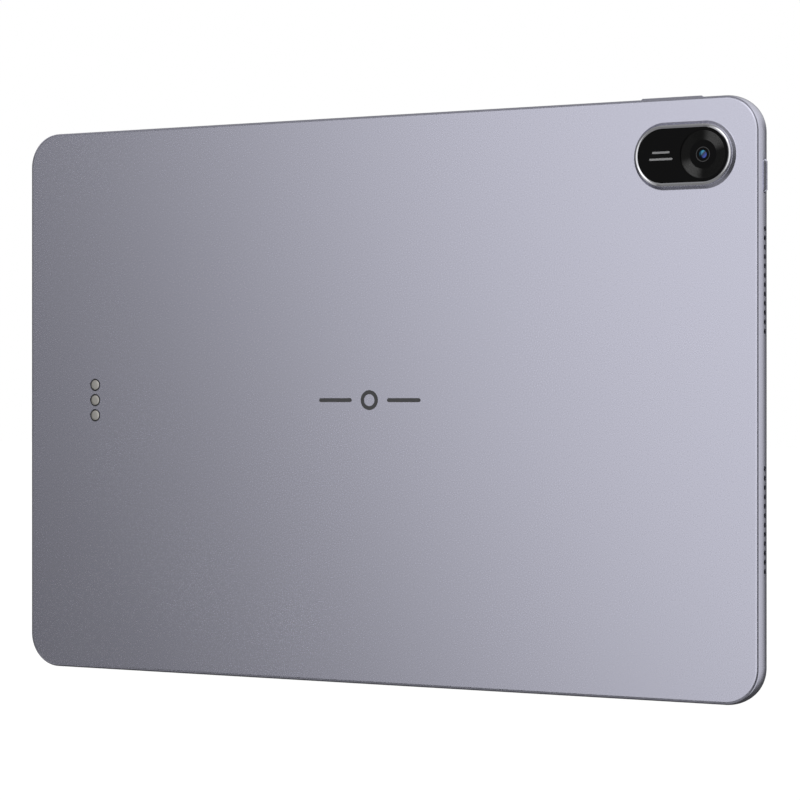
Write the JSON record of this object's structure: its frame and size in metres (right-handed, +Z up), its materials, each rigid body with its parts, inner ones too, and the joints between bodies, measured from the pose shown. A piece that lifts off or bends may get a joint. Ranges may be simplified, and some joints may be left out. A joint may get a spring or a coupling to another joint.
{
  "type": "tablet computer",
  "caption": "Slim tablet computer with a metal one-piece back, raised camera window, glass display, sprung side keys, sound holes, dock contacts and a charging port.",
  "frame": {"origin": "centre of the flat outer face of the back", "axes": "+X to the right as the back is seen, -Y out of the back, +Y out of the display, +Z up, with the long sides level"},
  "size_m": [0.2617, 0.009, 0.1775],
  "materials": {
    "anodised_aluminium": "fine bead-blasted, anodised a cool space grey with a trace of violet",
    "polished_steel": "polished bright ring round the camera window",
    "cover_glass": "clear cover glass, printed black behind its border, dark with the display off",
    "camera_glass": "gloss window printed black behind, clear over the lens",
    "black_plastic": "fine matt moulded black plastic",
    "lens_black": "satin black camera parts",
    "display_glass": "dark polarised display panel",
    "light_guide": "white backlight sheets",
    "plated_steel": "nickel-plated pressed steel",
    "cell_foil": "dark laminated foil pouch",
    "tape": "pale double-sided adhesive",
    "circuit_board": "green-black solder mask",
    "flex_film": "amber polyimide film",
    "graphite": "dark grey graphite sheet",
    "nickel_mesh": "dark fine-woven acoustic mesh",
    "contact_metal": "pale plated contact pads",
    "magnet_plate": "nickel-plated magnets",
    "foam": "black foam tape"
  },
  "bodies": {
    "tablet_body": {"rear_housing": "anodised_aluminium", "camera_ring": "polished_steel", "cover_glass": "cover_glass", "camera_glass": "camera_glass", "display_trim": "black_plastic", "speaker_lower_left": "black_plastic", "speaker_lower_right": "black_plastic", "speaker_upper_left": "black_plastic", "speaker_upper_right": "black_plastic", "dock_contact_carrier": "black_plastic", "usb_port_tongue": "black_plastic", "antenna_left": "black_plastic", "antenna_right": "black_plastic", "lens_trim": "lens_black", "rear_camera_module": "lens_black", "front_camera_module": "lens_black", "light_sensor": "lens_black", "lcd_panel": "display_glass", "backlight_unit": "light_guide", "support_plate": "plated_steel", "power_switch": "plated_steel", "volume_up_switch": "plated_steel", "volume_down_switch": "plated_steel", "microphone_left": "plated_steel", "microphone_right": "plated_steel", "usb_port_shell": "plated_steel", "processor_shield": "plated_steel", "power_shield": "plated_steel", "board_screw_1": "plated_steel", "board_screw_2": "plated_steel", "board_screw_3": "plated_steel", "board_screw_4": "plated_steel", "battery_cell_left": "cell_foil", "battery_cell_right": "cell_foil", "battery_pad_left": "tape", "battery_pad_right": "tape", "main_board": "circuit_board", "usb_board": "circuit_board", "battery_board": "circuit_board", "main_flex": "flex_film", "display_flex": "flex_film", "dock_flex": "flex_film", "power_key_flex": "flex_film", "volume_key_flex": "flex_film", "heat_spreader": "graphite", "speaker_mesh_lower_left": "nickel_mesh", "speaker_mesh_lower_right": "nickel_mesh", "speaker_mesh_upper_left": "nickel_mesh", "speaker_mesh_upper_right": "nickel_mesh", "dock_contact_lower": "contact_metal", "dock_contact_middle": "contact_metal", "dock_contact_upper": "contact_metal", "dock_magnet_lower": "magnet_plate", "dock_magnet_upper": "magnet_plate", "display_adhesive": "foam", "camera_gasket": "foam"},
    "power_key": {"power_key": "anodised_aluminium"},
    "volume_key": {"volume_key": "anodised_aluminium"}
  },
  "joints": [
    {"name": "power_key_press", "type": "slide", "parent": "tablet_body", "child": "power_key", "axis": [-1, 0, 0], "range_m": [0, 0.0003], "stiffness_N_per_m": 1500, "springref_m": -0.0006},
    {"name": "volume_key_rock", "type": "hinge", "parent": "tablet_body", "child": "volume_key", "pos_m": [0.1014, 0.0041, 0.08546], "axis": [0, 1, 0], "range_deg": [-1.5, 1.5], "stiffness_Nm_per_rad": 0.3}
  ]
}
